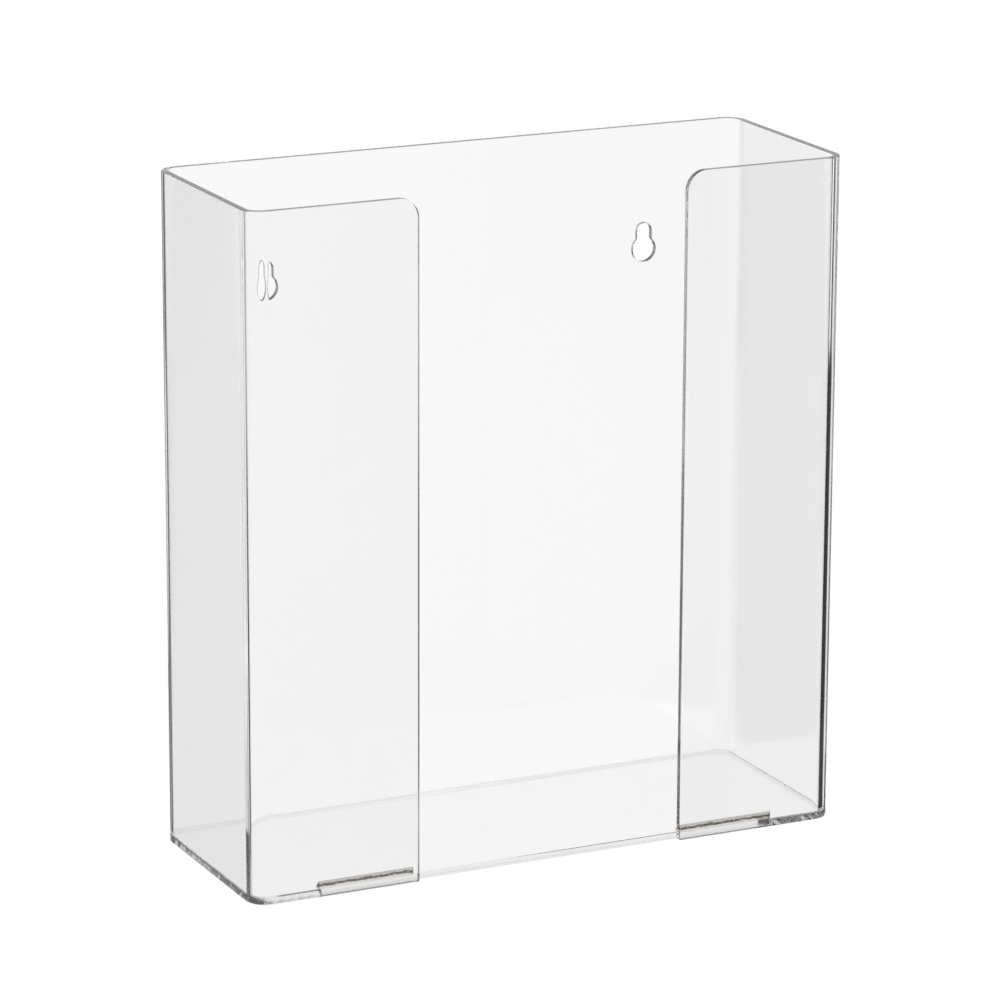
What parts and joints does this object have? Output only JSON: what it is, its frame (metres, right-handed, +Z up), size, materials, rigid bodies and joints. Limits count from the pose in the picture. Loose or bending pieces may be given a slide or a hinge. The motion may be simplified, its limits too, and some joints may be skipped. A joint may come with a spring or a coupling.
{
  "type": "disposable glove dispenser",
  "caption": "Clear acrylic wall or bench dispenser: a bent sheet with two front flanges on a flat base plate, open at the top and down the front, for boxes of gloves.",
  "frame": {"origin": "middle of the footprint, on the underside of the base plate, where it stands on a bench", "axes": "+Z up, +Y towards the wall that it hangs on, +X to the right of someone who faces the open front"},
  "size_m": [0.2546, 0.092, 0.272],
  "materials": {
    "bent_sheet": "clear polished acrylic",
    "plate": "clear acrylic with sawn edges",
    "corner_strip": "clear acrylic strip, solvent-welded"
  },
  "bodies": {
    "root": {"wrap": "bent_sheet", "base_plate": "plate", "left_corner_strip": "corner_strip", "right_corner_strip": "corner_strip"}
  },
  "joints": []
}
